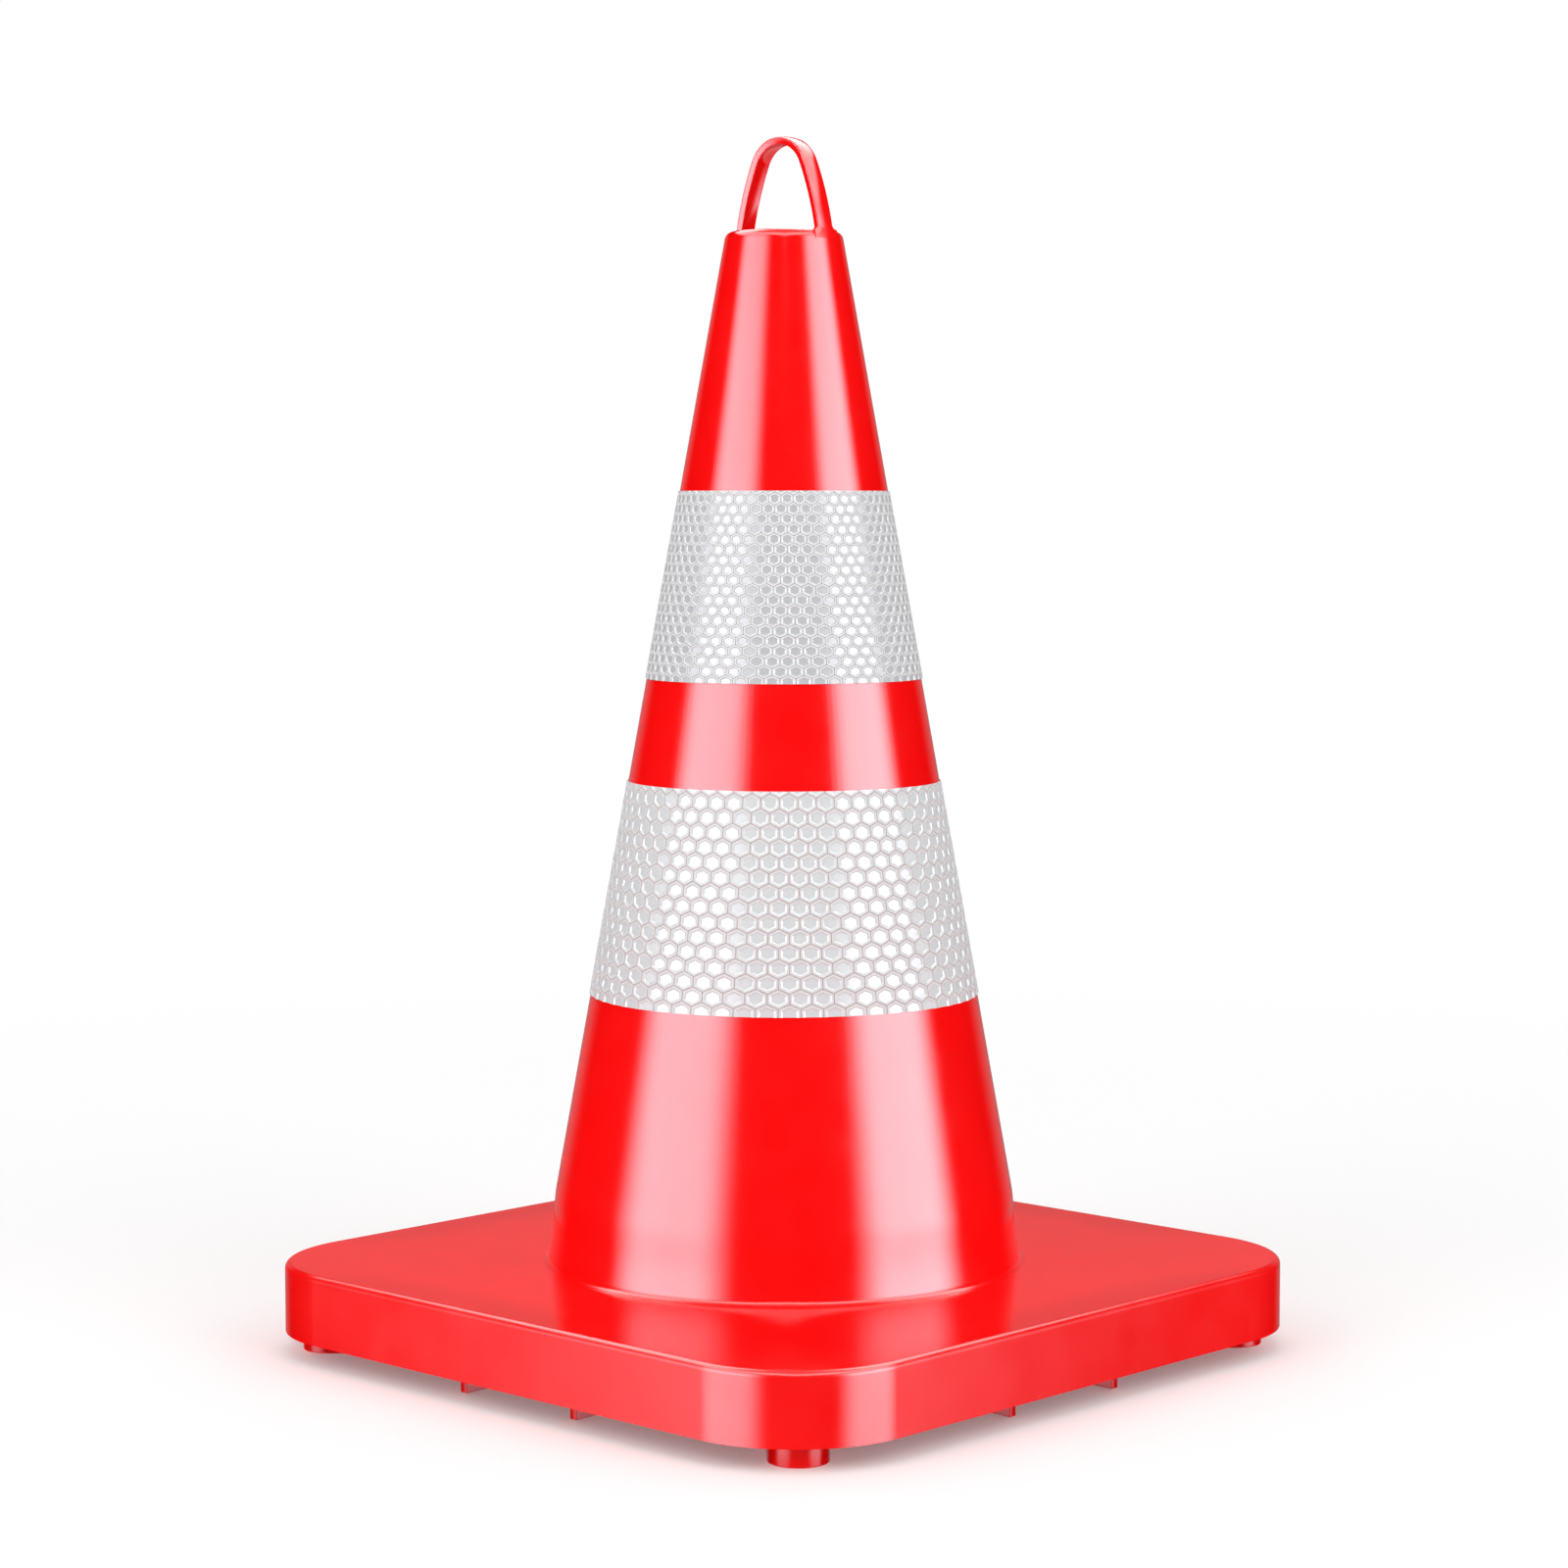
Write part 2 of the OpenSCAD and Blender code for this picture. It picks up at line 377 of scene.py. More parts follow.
def makeStudio():
    makeWorld()
    makeFloor()
    addCards()
    far = studio["panelDistance"]
    softness = studio["panelSoftness"]
    for side in ("left", "right"):
        start, end = studio[side + "Edges"]
        width = 2 * far * math.tan(math.radians((end - start) / 2)) / (1 - softness[0])
        middle = studio["panelMiddle"]
        place = roundAbout((start + end) / 2, far, middle)
        panel = addPanel(
            side + "Panel", place, (0, 0, middle), width, studio["panelHeight"],
            studio[side + "Strength"], softness,
        )
        panel.data.color = studio["panelColour"]
        seenOnlyBy(panel, "glossy")
    size = studio["topSize"]
    top = addPanel(
        "topPanel", (0, 0, studio["topHeight"]), (0, 0, 0), size, size, studio["topStrength"],
        studio["topSoftness"], studio["topHollow"],
    )
    seenOnlyBy(top, "glossy")
    size = studio["overheadSize"]
    overhead = addPanel(
        "overheadLight", (0, 0, studio["overheadHeight"]), (0, 0, 0), size, size,
        studio["overheadLight"], studio["lampSoftness"],
    )
    seenOnlyBy(overhead, "diffuse")
    size = studio["frontSize"]
    for turn in studio["frontTurns"]:
        lamp = addPanel(
            "frontLight", roundAbout(turn, studio["frontDistance"], studio["frontHeight"]),
            (0, 0, studio["frontAim"]), size, size, studio["frontLight"], studio["lampSoftness"],
        )
        seenOnlyBy(lamp, "diffuse")


makeStudio()
print("camera and studio ready")


def principled(name, colour, roughness):
    material = bpy.data.materials.new(name)
    material.use_nodes = True
    shader = material.node_tree.nodes["Principled BSDF"]
    shader.inputs["Base Color"].default_value = (*colour, 1)
    shader.inputs["Roughness"].default_value = roughness
    return material, material.node_tree, shader


def noise(tree, scale, detail):
    place = tree.nodes.new("ShaderNodeTexCoord")
    cloud = tree.nodes.new("ShaderNodeTexNoise")
    cloud.inputs["Scale"].default_value = scale
    cloud.inputs["Detail"].default_value = detail
    tree.links.new(place.outputs["Object"], cloud.inputs["Vector"])
    return cloud.outputs[0]


def blended(tree, amount, first, second):
    # From one colour to the other as the amount goes from 0 to 1
    node = tree.nodes.new("ShaderNodeMix")
    node.data_type = "RGBA"
    tree.links.new(amount, node.inputs["Factor"])
    for name, colour in (("A", first), ("B", second)):
        target = [s for s in node.inputs if s.name == name and s.type == "RGBA"][0]
        target.default_value = (*colour, 1)
    return [s for s in node.outputs if s.type == "RGBA"][0]


def bump(tree, shader, height, distance, under=None):
    # A relief of this depth, laid over the one under it
    node = tree.nodes.new("ShaderNodeBump")
    node.inputs["Distance"].default_value = distance
    tree.links.new(height, node.inputs["Height"])
    if under:
        tree.links.new(under, node.inputs["Normal"])
    tree.links.new(node.outputs[0], shader.inputs["Normal"])
    return node.outputs[0]


def darkened(colour, share):
    return tuple(channel * share for channel in colour)


redPlastic = {
    "bright": (0.94, 0.0022, 0.0024),
    "deep": (0.89, 0.0016, 0.0020),
    "driftSize": 9, "driftDetail": 3, "driftRange": (0.35, 0.65),   # between the two reds
    "shellRoughness": (0.10, 0.14), "baseRoughness": (0.15, 0.20),
    "hazeSize": 60, "hazeDetail": 4, "hazeRange": (0.3, 0.7),       # between the roughnesses
    "waveSize": 22, "waveDetail": 1, "waveDepth": 0.00012,          # slight unevenness
    "peelSize": 700, "peelDetail": 2, "peelDepth": 0.000004,        # fine orange peel
}


def makeRedPlastic(name, roughness):
    material, tree, shader = principled(name, redPlastic["bright"], roughness[0])
    drift = noise(tree, redPlastic["driftSize"], redPlastic["driftDetail"])
    amount = ranged(tree, drift, *redPlastic["driftRange"], 0, 1)
    tone = blended(tree, amount, redPlastic["bright"], redPlastic["deep"])
    tree.links.new(tone, shader.inputs["Base Color"])
    haze = noise(tree, redPlastic["hazeSize"], redPlastic["hazeDetail"])
    dullness = ranged(tree, haze, *redPlastic["hazeRange"], *roughness)
    tree.links.new(dullness, shader.inputs["Roughness"])
    swell = noise(tree, redPlastic["waveSize"], redPlastic["waveDetail"])
    wave = bump(tree, shader, swell, redPlastic["waveDepth"])
    peel = noise(tree, redPlastic["peelSize"], redPlastic["peelDetail"])
    bump(tree, shader, peel, redPlastic["peelDepth"], wave)
    return material


shellPlastic = makeRedPlastic("glossyShellPlastic", redPlastic["shellRoughness"])
basePlastic = makeRedPlastic("glossyBasePlastic", redPlastic["baseRoughness"])


prismSheet = {
    "upperFilm": (0.50, 0.51, 0.525), "lowerFilm": (0.65, 0.665, 0.68), "filmRoughness": 0.16,
    "facetSize": 1500, "facetDepth": 0.000012, "facetRange": (0.1, 0.7), "facetShade": 0.94,
    "upperRidge": (0.735, 0.73, 0.74), "lowerRidge": (0.66, 0.655, 0.66),
    # The lines are the pressed lines' own darker grey, and the lower one's pink tint is painted red
    # light reflected from the base below it
    "upperLine": (0.36, 0.36, 0.37), "lowerLine": (0.50, 0.395, 0.40),
    "sealedRoughness": 0.55, "sealedGloss": 0.15,
    "grainSize": 1400, "grainDetail": 3, "grainDepth": 0.00002,
    "grainRange": (0.35, 0.65), "grainShade": 0.88,
}


def makePrismFilm(name, colour):
    # Clear film over small prisms: glossy, with a fine facet in each cell
    material, tree, shader = principled(name, colour, prismSheet["filmRoughness"])
    place = tree.nodes.new("ShaderNodeTexCoord")
    facets = tree.nodes.new("ShaderNodeTexVoronoi")
    facets.inputs["Scale"].default_value = prismSheet["facetSize"]
    tree.links.new(place.outputs["Object"], facets.inputs["Vector"])
    amount = ranged(tree, facets.outputs["Distance"], *prismSheet["facetRange"], 0, 1)
    tone = blended(tree, amount, colour, darkened(colour, prismSheet["facetShade"]))
    tree.links.new(tone, shader.inputs["Base Color"])
    bump(tree, shader, facets.outputs["Distance"], prismSheet["facetDepth"])
    return material


def makeSealedFilm(name, colour):
    # The film where it is sealed down: matte, with the grain of the sealing tool
    material, tree, shader = principled(name, colour, prismSheet["sealedRoughness"])
    shader.inputs["Specular IOR Level"].default_value = prismSheet["sealedGloss"]
    grain = noise(tree, prismSheet["grainSize"], prismSheet["grainDetail"])
    amount = ranged(tree, grain, *prismSheet["grainRange"], 0, 1)
    tone = blended(tree, amount, colour, darkened(colour, prismSheet["grainShade"]))
    tree.links.new(tone, shader.inputs["Base Color"])
    bump(tree, shader, grain, prismSheet["grainDepth"])
    return material


def makeSheetMaterials(which):
    # The cells' film, the ridge round each, and the line pressed between the ridges; the lower
    # line's pink tint is a painted reflection of the red base below it
    return (
        makePrismFilm(which + "PrismFilm", prismSheet[which + "Film"]),
        makeSealedFilm(which + "SealedRidge", prismSheet[which + "Ridge"]),
        makeSealedFilm(which + "SealedLine", prismSheet[which + "Line"]),
    )


upperMaterials = makeSheetMaterials("upper")
lowerMaterials = makeSheetMaterials("lower")
print("materials ready")


cone = {
    "bandRadius": 0.1065, "bandHeight": 0.028,
    "bandDraft": 3.5,         # the band leans in a little, in degrees
    "flareHeight": 0.018, "flareTop": 0.1068, "flareRadius": 0.100, "footFillet": 0.0028,
    "rimRadius": 0.0272, "rimRound": 0.004,
    "wall": 0.0035, "openingRadius": 0.022, "openingLip": 0.0008, "neckHeight": 0.008,
    "softBend": 0.06,         # radius of the bend between the band and the flank
    "filletSteps": 6, "flareSteps": 8, "bendSteps": 4, "rimSteps": 8, "lipSteps": 3,
    "stepsRound": 160,
}
coneHeight = rimHeight - deckHeight
flankTop = coneHeight - cone["rimRound"]
taper = (cone["bandRadius"] - cone["rimRadius"]) / (flankTop - cone["bandHeight"])
taperAngle = math.atan(taper)


def flankRadius(height):
    # Outer radius at a height above the deck
    return cone["bandRadius"] - (height - cone["bandHeight"]) * taper


def above(radius, height):
    # A point of the side view, over the deck
    return Vector((radius, 0, deckHeight + height))


def makeConeShell():
    openRadius = cone["bandRadius"] - cone["wall"]
    fillet = cone["footFillet"]
    draft = math.radians(cone["bandDraft"])
    # The flare's arc leaves the band along its lean, and the fillet ends it on the deck
    flareCentre = above(
        cone["flareTop"] + cone["flareRadius"] * math.cos(draft),
        cone["flareHeight"] + cone["flareRadius"] * math.sin(draft),
    )
    rise = flareCentre.z - deckHeight - fillet
    across = math.sqrt((cone["flareRadius"] - fillet) ** 2 - rise**2)
    filletCentre = above(flareCentre.x - across, fillet)
    meet = math.atan2(rise, across)

    piece, pen = penDown("coneShell", above(openRadius, 0))
    pen = penLineGuarded(pen, above(filletCentre.x, 0))
    pen = penArc(pen, filletCentre, -(math.pi / 2 - meet), cone["filletSteps"])
    pen = penArc(pen, flareCentre, draft - meet, cone["flareSteps"])
    # The band and the flank run into each other over a long soft bend
    cross = (
        cone["flareTop"] + cone["flareHeight"] * math.tan(draft)
        - cone["bandRadius"] - cone["bandHeight"] * taper
    ) / (math.tan(draft) - taper)
    bend = cone["softBend"] * math.tan((taperAngle - draft) / 2)
    start = above(
        cone["flareTop"] - (cross - bend * math.cos(draft) - cone["flareHeight"]) * math.tan(draft),
        cross - bend * math.cos(draft),
    )
    pen = penLineGuarded(pen, start)
    bendCentre = start - Vector((math.cos(draft), 0, math.sin(draft))) * cone["softBend"]
    pen = penArc(pen, bendCentre, taperAngle - draft, cone["bendSteps"])
    # The rim's round, the lip of the opening, and the neck under it
    roundCentre = above(
        flankRadius(flankTop) - cone["rimRound"] / math.cos(taperAngle), flankTop
    )
    way = Vector((math.cos(taperAngle), 0, math.sin(taperAngle)))
    pen = penLineGuarded(pen, roundCentre + way * cone["rimRound"])
    pen = penArc(pen, roundCentre, math.pi / 2 - taperAngle, cone["rimSteps"])
    lip = cone["openingLip"]
    pen = penLine(pen, above(cone["openingRadius"] + lip, coneHeight))
    lipCentre = above(cone["openingRadius"] + lip, coneHeight - lip)
    pen = penArc(pen, lipCentre, math.pi / 2, cone["lipSteps"])
    neck = coneHeight - cone["neckHeight"]
    slope = (flankRadius(neck) - cone["wall"] - cone["openingRadius"]) / (1 - taper)
    pen = penLineGuarded(pen, above(cone["openingRadius"], neck))
    pen = penLineGuarded(pen, above(cone["openingRadius"] + slope, neck - slope))
    pen = penLineGuarded(pen, above(openRadius, cone["bandHeight"]))
    pen = penLineGuarded(pen, above(openRadius, 0))

    bpy.ops.mesh.select_all(action="SELECT")
    bpy.ops.mesh.spin(
        steps=cone["stepsRound"], angle=math.tau, center=(0, 0, 0), axis=(0, 0, 1),
        use_auto_merge=True,
    )
    closeMesh()
    bpy.ops.object.mode_set(mode="OBJECT")
    finishPiece(piece, "cone_shell", shellPlastic)


makeConeShell()


loop = {
    "crownRadius": 0.018,
    "strapWidth": 0.0096, "strapThickness": 0.0032,
    "crowning": 0.0275,       # radius of the strap's round outer face
    "draft": 10.4,            # how far the strap's sides close in towards its inside, in degrees
    "widthSteps": 8, "legSteps": 8, "crownSteps": 36,
    "footFlare": 0.0025, "footDepth": 0.004, "footTurn": 18, "footSteps": 5,
    "endsBelow": 0.0035,      # the legs' open ends lie lower than this over the rim
    "edgeRound": 0.0004, "edgeSteps": 3, "edgeBend": 63,     # rounded where the bend is sharper
    "clearOfRim": 0.0001,
}


def makeLiftingLoop():
    legRadius = cone["rimRadius"] - cone["rimRound"] * taper
    crownHeight = loopHigh.z - rimHeight - loop["crownRadius"]
    # Each side's arc leaves the rim along the flank's lean, and meets the crown without a kink
    leant = legRadius * math.cos(taperAngle) - crownHeight * math.sin(taperAngle)
    sideRadius = (legRadius**2 + crownHeight**2 - loop["crownRadius"] ** 2) / (
        2 * (leant - loop["crownRadius"])
    )
    sideCentre = Vector((
        legRadius - sideRadius * math.cos(taperAngle), 0,
        rimHeight - sideRadius * math.sin(taperAngle),
    ))
    crownCentre = Vector((0, 0, rimHeight + crownHeight))
    meet = math.atan2(crownCentre.z - sideCentre.z, -sideCentre.x)
    start = taperAngle + loop["footFlare"] / sideRadius

    # The strap's section, crowned, stood on the right leg where its flare ends
    nothingSelected()
    bpy.ops.mesh.primitive_grid_add(x_subdivisions=1, y_subdivisions=loop["widthSteps"], size=1)
    piece = named("liftingLoop")
    bpy.ops.object.mode_set(mode="EDIT")
    bpy.ops.mesh.select_mode(type="VERT")
    bpy.ops.mesh.select_all(action="SELECT")
    bpy.ops.transform.resize(value=(loop["strapThickness"], loop["strapWidth"], 1))
    rows = {round(abs(v.co.y), 6) for v in bmesh.from_edit_mesh(piece.data).verts}
    for row in sorted(rows):
        pick(piece, "VERT", lambda vertex: abs(abs(vertex.co.y) - row) < mergeDistance)
        bpy.ops.transform.translate(value=(-row * row / 2 / loop["crowning"], 0, 0))
    narrower = 2 * loop["strapThickness"] * math.tan(math.radians(loop["draft"]))
    pick(piece, "VERT", lambda vertex: vertex.co.x < 0)
    bpy.ops.transform.resize(
        value=(1, 1 - narrower / loop["strapWidth"], 1), center_override=(0, 0, 0)
    )
    bpy.ops.mesh.select_all(action="SELECT")
    bpy.ops.transform.translate(value=(-loop["strapThickness"] / 2, 0, 0))
    bpy.ops.transform.rotate(value=start, orient_axis="Y", center_override=(0, 0, 0))
    outward = Vector((math.cos(start), 0, math.sin(start)))
    bpy.ops.transform.translate(value=sideCentre + outward * sideRadius)

    # Up the right side, over the crown and down the left side
    otherCentre = Vector((-sideCentre.x, 0, sideCentre.z))
    for centre, turn, steps in (
        (sideCentre, meet - start, loop["legSteps"]),
        (crownCentre, math.pi - 2 * meet, loop["crownSteps"]),
        (otherCentre, meet - start, loop["legSteps"]),
    ):
        bpy.ops.mesh.spin(steps=steps, angle=turn, center=centre, axis=(0, 1, 0))

    # Both feet flare over the last stretch and go on down into the rim
    flare = loop["footFlare"]
    for side in (-1, 1):
        pick(
            piece, "FACE",
            lambda face: face.calc_center_median().z < rimHeight + loop["endsBelow"]
            and face.calc_center_median().x * side > 0 and abs(face.normal.z) > facingShare,
        )
        width = loop["strapWidth"]
        down = Vector((side * math.sin(taperAngle), 0, -math.cos(taperAngle)))
        for step in range(loop["footSteps"]):
            turn = math.radians(loop["footTurn"] * (step + 1))
            before = math.radians(loop["footTurn"] * step)
            wider = loop["strapWidth"] + 2 * flare * (1 - math.cos(turn))
            depth = flare * (math.sin(turn) - math.sin(before))
            bpy.ops.mesh.extrude_region_move(TRANSFORM_OT_translate={"value": down * depth})
            bpy.ops.transform.resize(value=(1, wider / width, 1), center_override=(0, 0, 0))
            width = wider
        bpy.ops.mesh.extrude_region_move(
            TRANSFORM_OT_translate={"value": down * loop["footDepth"]}
        )
    closeMesh()

    # The four long corners of the strap are rounded
    pick(
        piece, "EDGE",
        lambda edge: bendsMoreThan(edge, loop["edgeBend"])
        and all(v.co.z > rimHeight + loop["clearOfRim"] for v in edge.verts),
    )
    bpy.ops.mesh.bevel(offset=loop["edgeRound"], segments=loop["edgeSteps"], affect="EDGES")
    bpy.ops.object.mode_set(mode="OBJECT")
    finishPiece(piece, "lifting_loop", shellPlastic)


makeLiftingLoop()


base = {
    "cornerRadius": 0.057, "cornerSteps": 31,
    "edgeRadius": 0.003, "edgeSteps": 7, "edgeBend": 69,     # rounded where the bend is sharper
    "wall": 0.0035,
    "lowerEdge": 0.0008, "lowerEdgeSteps": 3, "lowerEdgeBend": 60,
    "holeMargin": 0.01,       # the outline is farther out than the hole by more than this
    "shadingWeight": 80,      # the large faces decide the shading at the rounded edges
    "sinkShare": 0.9,         # what is moulded on under the deck ends this deep in its wall
}


def makeBaseTray():
    side = trayHigh.x - trayLow.x
    openRadius = cone["bandRadius"] - cone["wall"]
    nothingSelected()
    bpy.ops.mesh.primitive_plane_add(size=side, location=(0, 0, trayHigh.z))
    piece = named("baseTray")
    bpy.ops.object.mode_set(mode="EDIT")
    bpy.ops.mesh.select_all(action="SELECT")
    bpy.ops.mesh.bevel(
        offset=base["cornerRadius"], segments=base["cornerSteps"], affect="VERTICES"
    )
    # The deck is bridged between its outline and the hole under the cone
    bpy.ops.mesh.select_all(action="SELECT")
    bpy.ops.mesh.delete(type="ONLY_FACE")
    bpy.ops.mesh.primitive_circle_add(
        vertices=4 * (base["cornerSteps"] + 1), radius=openRadius,
        location=(0, 0, trayHigh.z), rotation=(0, 0, math.radians(45)),
    )
    bpy.ops.mesh.select_all(action="SELECT")
    bpy.ops.mesh.bridge_edge_loops()
    # The skirt is drawn down from the outline, and the top edge is rounded
    pick(
        piece, "EDGE",
        lambda edge: edge.is_boundary
        and min(v.co.xy.length for v in edge.verts) > openRadius + base["holeMargin"],
    )
    depth = trayHigh.z - trayLow.z
    bpy.ops.mesh.extrude_region_move(TRANSFORM_OT_translate={"value": (0, 0, -depth)})
    bpy.ops.mesh.select_all(action="SELECT")
    bpy.ops.mesh.normals_make_consistent(inside=False)
    pick(piece, "EDGE", lambda edge: bendsMoreThan(edge, base["edgeBend"]))
    bpy.ops.mesh.bevel(offset=base["edgeRadius"], segments=base["edgeSteps"], affect="EDGES")
    bpy.ops.mesh.select_all(action="SELECT")
    bpy.ops.mesh.normals_make_consistent(inside=False)
    bpy.ops.object.mode_set(mode="OBJECT")
    addModifier(piece, "SOLIDIFY", thickness=base["wall"], offset=-1, use_even_offset=True)
    addModifier(
        piece, "BEVEL", width=base["lowerEdge"], segments=base["lowerEdgeSteps"],
        limit_method="ANGLE", angle_limit=math.radians(base["lowerEdgeBend"]),
    )
    finishPiece(piece, "base_tray", basePlastic)
    addModifier(piece, "WEIGHTED_NORMAL", keep_sharp=True, weight=base["shadingWeight"])


makeBaseTray()


quarterTurns = (90, 180, 270)
ribs = {
    "offset": 0.035, "thickness": 0.004, "drop": 0.009, "setback": 0.012,
    "fromAxis": 0.1113,
    "shoulder": (0.006, 0.002),    # where the end slants in, inside the skirt
    "edgeRound": 0.0005, "edgeSteps": 3,
}


def turnedCopies(piece, turns, name):
    # Copies turned about the axis, all joined to the first
    copies = [piece]
    for turn in turns:
        onlySelected(piece)
        bpy.ops.object.duplicate()
        copy = bpy.context.object
        copy.rotation_euler.z = math.radians(turn)
        bpy.ops.object.transform_apply(location=True, rotation=True, scale=True)
        copies.append(copy)
    nothingSelected()
    for copy in copies:
        copy.select_set(True)
    bpy.context.view_layer.objects.active = piece
    bpy.ops.object.join()
    piece.name = name


def makeUndersideRibs():
    skirtInside = trayHigh.x - base["wall"] * base["sinkShare"]
    under = trayHigh.z - base["wall"] * base["sinkShare"]
    lowerEnd = trayHigh.x - ribs["setback"]
    low = trayLow.z - ribs["drop"]
    y = ribs["offset"] - ribs["thickness"] / 2
    corners = [
        (ribs["fromAxis"], y, under), (skirtInside, y, under),
        (skirtInside, y, trayLow.z + ribs["shoulder"][0]),
        (lowerEnd, y, trayLow.z + ribs["shoulder"][1]),
        (lowerEnd, y, low), (ribs["fromAxis"], y, low),
    ]
    piece, pen = penDown("undersideRibs", corners[0])
    for corner in corners[1:]:
        pen = penLine(pen, corner)
    bpy.ops.mesh.select_all(action="SELECT")
    bpy.ops.mesh.edge_face_add()
    bpy.ops.mesh.select_mode(type="FACE")
    bpy.ops.mesh.select_all(action="SELECT")
    bpy.ops.mesh.extrude_region_move(
        TRANSFORM_OT_translate={"value": (0, ribs["thickness"], 0)}
    )
    closeMesh()
    # A second rib on the other side of the middle
    bpy.ops.mesh.duplicate_move(
        TRANSFORM_OT_translate={"value": (0, -2 * ribs["offset"], 0)}
    )
    bpy.ops.object.mode_set(mode="OBJECT")
    addModifier(piece, "BEVEL", width=ribs["edgeRound"], segments=ribs["edgeSteps"])
    turnedCopies(piece, quarterTurns, "undersideRibs")
    finishPiece(piece, "underside_ribs", basePlastic)


makeUndersideRibs()


feet = {
    "width": 0.026, "wall": 0.004, "inset": 0.008, "tipSteps": 24,
    "edgeRound": 0.0006, "edgeSteps": 3, "edgeBend": 60,
}


def makeCornerFeet():
    reach = (trayHigh.x - base["cornerRadius"]) * math.sqrt(2) + base["cornerRadius"]
    half = feet["width"] / 2
    tipCentre = reach - feet["inset"] - half
    piece, pen = penDown("cornerFeet", (ribs["fromAxis"], half, 0))
    pen = penLineGuarded(pen, (tipCentre, half, 0))
    pen = penArc(pen, (tipCentre, 0, 0), math.pi, feet["tipSteps"], (0, 0, 1))
    pen = penLineGuarded(pen, (ribs["fromAxis"], -half, 0))
    bpy.ops.mesh.select_all(action="SELECT")
    under = trayHigh.z - base["wall"] * base["sinkShare"]
    bpy.ops.mesh.extrude_region_move(TRANSFORM_OT_translate={"value": (0, 0, under)})
    closeMesh()
    bpy.ops.object.mode_set(mode="OBJECT")
    # The wall grows inwards, whichever way its faces point
    outwards = sum(
        face.normal.dot(face.center - Vector((tipCentre, 0, face.center.z)))
        for face in piece.data.polygons
    )
    addModifier(
        piece, "SOLIDIFY", thickness=feet["wall"], offset=-1 if outwards > 0 else 1,
        use_even_offset=True,
    )
    addModifier(
        piece, "BEVEL", width=feet["edgeRound"], segments=feet["edgeSteps"],
        limit_method="ANGLE", angle_limit=math.radians(feet["edgeBend"]),
    )
    onlySelected(piece)
    piece.rotation_euler.z = math.radians(45)
    bpy.ops.object.transform_apply(location=True, rotation=True, scale=True)
    turnedCopies(piece, quarterTurns, "cornerFeet")
    finishPiece(piece, "corner_feet", basePlastic)


makeCornerFeet()


sheet = {
    "thickness": 0.0007, "columns": 56, "upperRows": 19, "lowerRows": 15,
    "grooveShare": 0.022, "grooveDepth": 0.00022,    # half a groove, as a share of a cell's width
    "ridgeShare": 0.100,
    "upperSlopeShare": 0.070, "lowerSlopeShare": 0.068, "slopeAngle": 32,
    "firstRow": 0.2,          # how far up the pattern starts, in rows
    "backShare": 0.94,        # where the turned-in edges end, as a share of the thickness
    "cellMerge": 0.00002, "cutTolerance": 0.000001,
}
lap = {
    "width": 0.012, "height": 0.0009, "sunkShare": 0.6, "rows": 40,
    "weldEdges": (0.12, 0.30),     # from the lap's sides, as shares of its width
    "weldReach": 0.0005, "weldInset": 0.0003, "weldDepth": 0.0002,
    "edgeRound": 0.0003, "edgeSteps": 2, "edgeBend": 80,
}


def makeLap(height, seam, material):
    # The welded lap over the sheet's ends, with two pressed weld lines
    nothingSelected()
    bpy.ops.mesh.primitive_cube_add(size=1)
    piece = named("lap")
    bpy.ops.object.mode_set(mode="EDIT")
    bpy.ops.mesh.select_all(action="SELECT")
    depth = lap["height"] + sheet["thickness"] * lap["sunkShare"]
    bpy.ops.transform.resize(value=(lap["width"], depth, height))
    bpy.ops.transform.translate(value=(seam, depth / 2 - lap["height"], 0))
    cuts = []
    for row in range(1, lap["rows"]):
        cuts.append(((0, 0, height * (row / lap["rows"] - 0.5)), (0, 0, 1)))
    for side in (-1, 1):
        for edge in lap["weldEdges"]:
            cuts.append(((seam + side * lap["width"] * (0.5 - edge), 0, 0), (1, 0, 0)))
    for place, normal in cuts:
        bpy.ops.mesh.select_all(action="SELECT")
        bpy.ops.mesh.bisect(plane_co=place, plane_no=normal)
    fromMiddle = lap["width"] * (0.5 - sum(lap["weldEdges"]) / 2)
    pick(
        piece, "FACE",
        lambda face: face.normal.y < -facingShare
        and abs(abs(face.calc_center_median().x - seam) - fromMiddle) < lap["weldReach"],
    )
    bpy.ops.mesh.inset(thickness=lap["weldInset"], depth=-lap["weldDepth"], use_individual=True)
    bpy.ops.object.mode_set(mode="OBJECT")
    addModifier(
        piece, "BEVEL", width=lap["edgeRound"], segments=lap["edgeSteps"],
        limit_method="ANGLE", angle_limit=math.radians(lap["edgeBend"]),
    )
    piece.data.materials.append(material)
    return piece


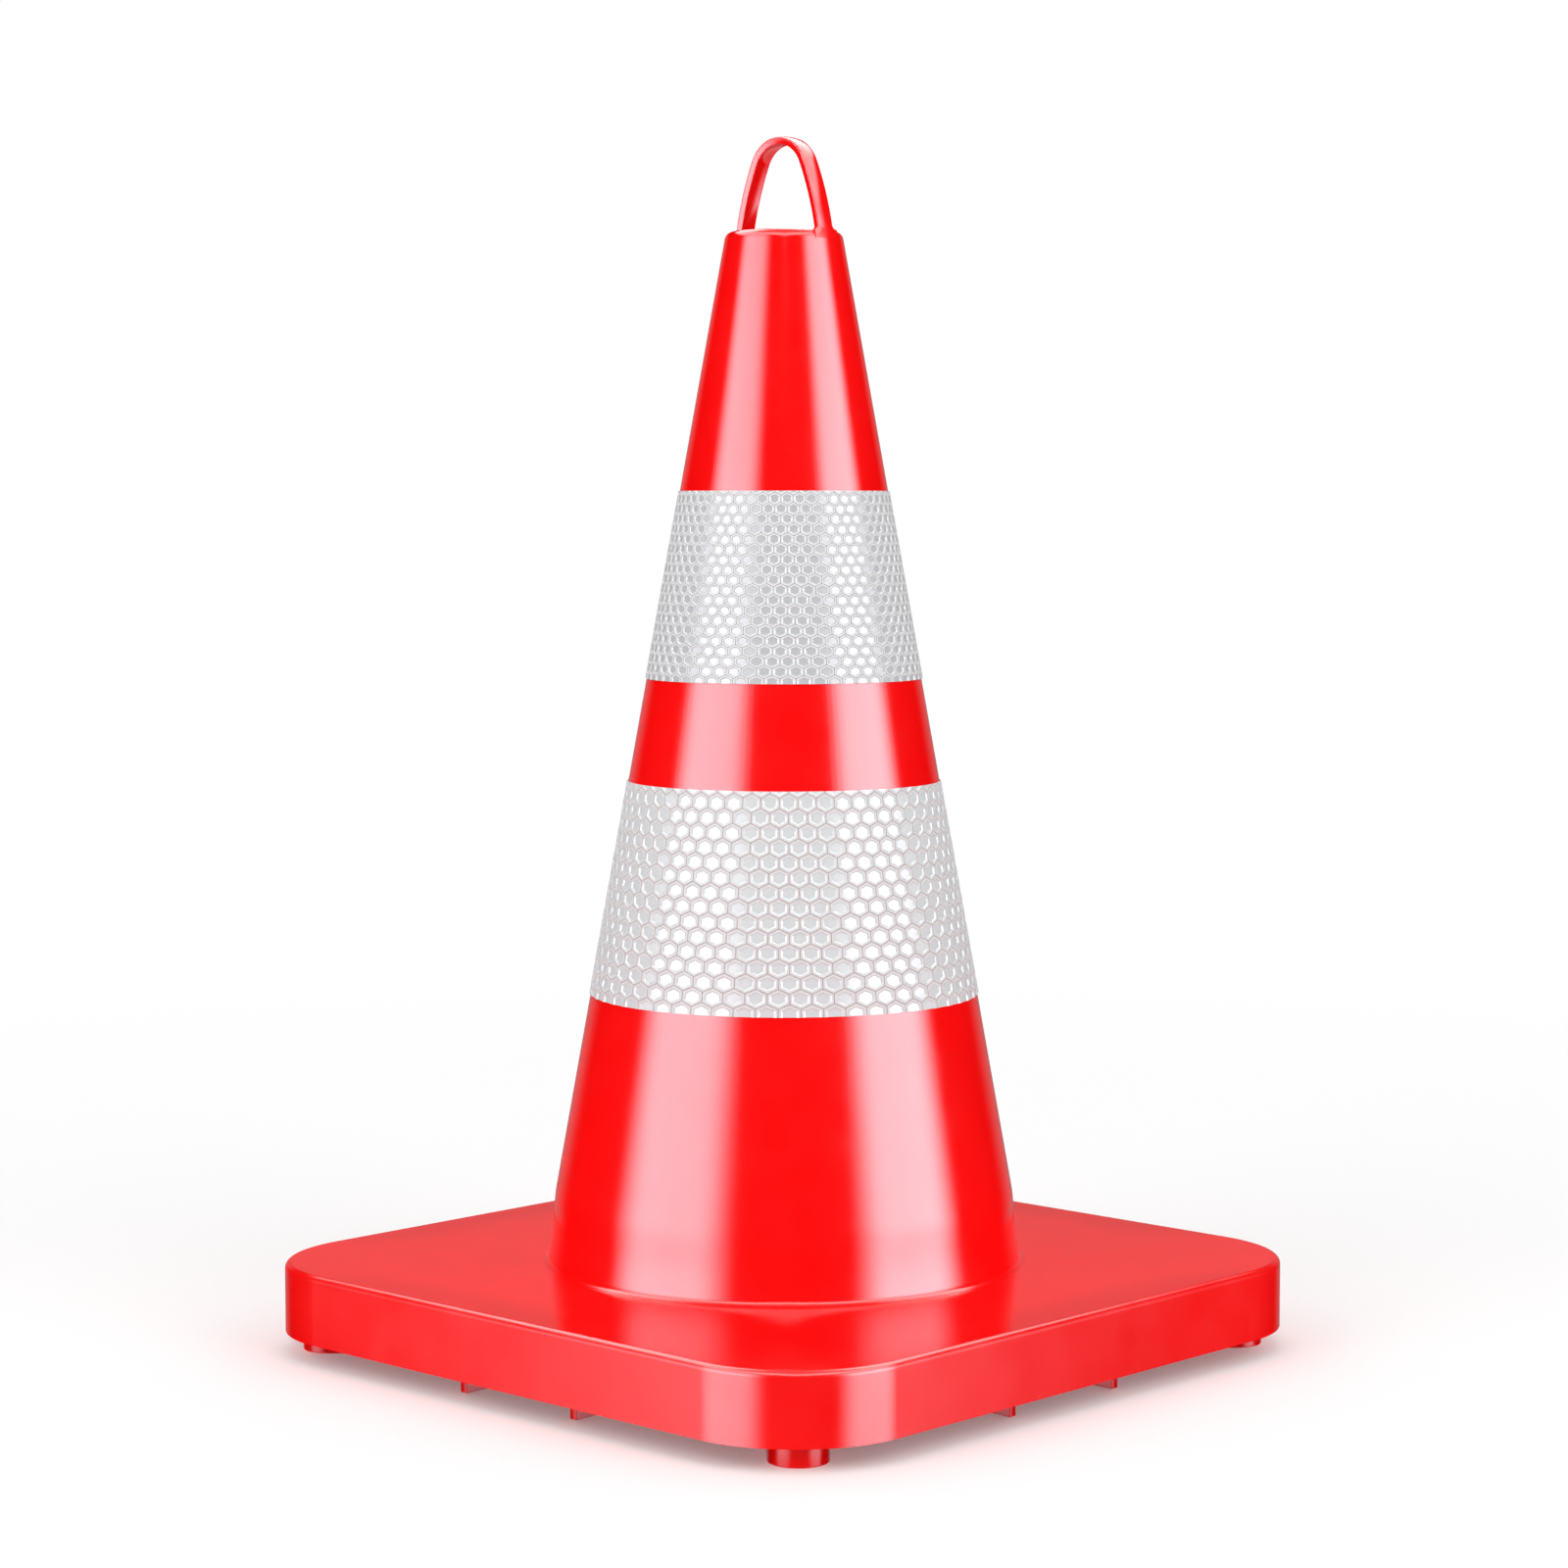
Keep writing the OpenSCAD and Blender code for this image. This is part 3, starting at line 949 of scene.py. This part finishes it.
def makeSleeve(name, node, materials, rows, slopeShare):
    low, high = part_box(node)
    height = high.z - low.z
    middle = (low.z + high.z) / 2
    outer = flankRadius(middle - deckHeight) + sheet["thickness"]
    length = math.tau * outer
    pitch = length / sheet["columns"]
    rowPitch = height / rows

    # One cell, seen from outside: a groove round it, a ridge, a slope down and a flat floor
    nothingSelected()
    bpy.ops.mesh.primitive_circle_add(
        vertices=6, radius=pitch / math.sqrt(3), fill_type="NGON",
        rotation=(math.radians(90), 0, 0),
    )
    piece = named(name)
    for material in materials:
        piece.data.materials.append(material)
    bpy.ops.object.mode_set(mode="EDIT")
    bpy.ops.mesh.select_mode(type="FACE")
    bpy.ops.mesh.select_all(action="SELECT")
    bpy.ops.transform.resize(value=(1, 1, rowPitch / (pitch * math.sqrt(3) / 2)))
    slope = pitch * slopeShare
    steps = (
        (pitch * sheet["grooveShare"], sheet["grooveDepth"], 2),
        (pitch * sheet["ridgeShare"], 0, 1),
        (slope, -slope * math.tan(math.radians(sheet["slopeAngle"])), 0),
    )
    for thickness, depth, slot in steps:
        piece.active_material_index = slot
        bpy.ops.object.material_slot_assign()
        bpy.ops.mesh.inset(thickness=thickness, depth=depth)
    piece.active_material_index = 0
    bpy.ops.object.material_slot_assign()
    # The highest part of the relief lies on the sheet's outside
    bpy.ops.mesh.select_all(action="SELECT")
    bpy.ops.transform.translate(value=(-length / 2 + pitch / 2, sheet["grooveDepth"], 0))
    bpy.ops.object.mode_set(mode="OBJECT")

    # A row of cells, a second row half a cell along, and enough pairs to cover the height
    pairs = rows // 2 + 2
    for count, step in (
        (sheet["columns"], (pitch, 0, 0)),
        (2, (pitch / 2, 0, rowPitch)),
        (pairs, (0, 0, 2 * rowPitch)),
    ):
        addModifier(
            piece, "ARRAY", count=count, use_relative_offset=False,
            use_constant_offset=True, constant_offset_displace=step,
        )
    onlySelected(piece)
    bpy.ops.object.mode_set(mode="EDIT")
    bpy.ops.mesh.select_all(action="SELECT")
    bpy.ops.transform.translate(value=(0, 0, (sheet["firstRow"] + 0.5 - pairs) * rowPitch))
    bpy.ops.mesh.remove_doubles(threshold=sheet["cellMerge"])
    # Cut to the sleeve's height, and the cut edges turned in to the sheet's back
    for side in (-1, 1):
        bpy.ops.mesh.select_all(action="SELECT")
        bpy.ops.mesh.bisect(
            plane_co=(0, 0, side * height / 2), plane_no=(0, 0, side),
            clear_outer=True, threshold=sheet["cutTolerance"],
        )
    pick(
        piece, "EDGE",
        lambda edge: edge.is_boundary
        and all(abs(abs(v.co.z) - height / 2) < mergeDistance for v in edge.verts),
    )
    bpy.ops.mesh.extrude_region_move(TRANSFORM_OT_translate={"value": (0, sheet["thickness"], 0)})
    back = sheet["thickness"] * sheet["backShare"]
    bpy.ops.transform.resize(value=(1, 0, 1), center_override=(0, back, 0))
    bpy.ops.object.mode_set(mode="OBJECT")

    # The lap covers the ends, and all is bent into a ring and drawn in to the cone's taper
    strip = makeLap(height, length / 2, materials[1])
    nothingSelected()
    strip.select_set(True)
    piece.select_set(True)
    bpy.context.view_layer.objects.active = piece
    bpy.ops.object.join()
    across = [vertex.co.x for vertex in piece.data.vertices]
    addModifier(
        piece, "SIMPLE_DEFORM", deform_method="BEND", deform_axis="Z",
        angle=math.tau * (max(across) - min(across)) / length,
    )
    onlySelected(piece)
    bpy.ops.object.mode_set(mode="EDIT")
    bpy.ops.mesh.select_all(action="SELECT")
    bpy.ops.transform.translate(value=(0, -outer, 0))
    bpy.ops.mesh.remove_doubles(threshold=sheet["cellMerge"])
    # The back of the sheet joins its upper and lower edges
    pick(piece, "EDGE", lambda edge: edge.is_boundary)
    bpy.ops.mesh.bridge_edge_loops()
    bpy.ops.mesh.select_all(action="SELECT")
    bpy.ops.mesh.normals_make_consistent(inside=False)
    bpy.ops.object.mode_set(mode="OBJECT")
    addModifier(
        piece, "SIMPLE_DEFORM", deform_method="TAPER", deform_axis="Z",
        factor=-height * taper / outer,
    )
    onlySelected(piece)
    bpy.ops.object.mode_set(mode="EDIT")
    bpy.ops.mesh.select_all(action="SELECT")
    bpy.ops.transform.translate(value=(0, 0, middle))
    loose = sum(1 for edge in bmesh.from_edit_mesh(piece.data).edges if not edge.is_manifold)
    bpy.ops.object.mode_set(mode="OBJECT")
    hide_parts(node)
    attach(piece, "root")
    print(name, "has", len(piece.data.polygons), "faces and", loose, "open edges")


makeSleeve(
    "upperSleeve", "upper_sleeve", upperMaterials, sheet["upperRows"], sheet["upperSlopeShare"]
)
makeSleeve(
    "lowerSleeve", "lower_sleeve", lowerMaterials, sheet["lowerRows"], sheet["lowerSlopeShare"]
)
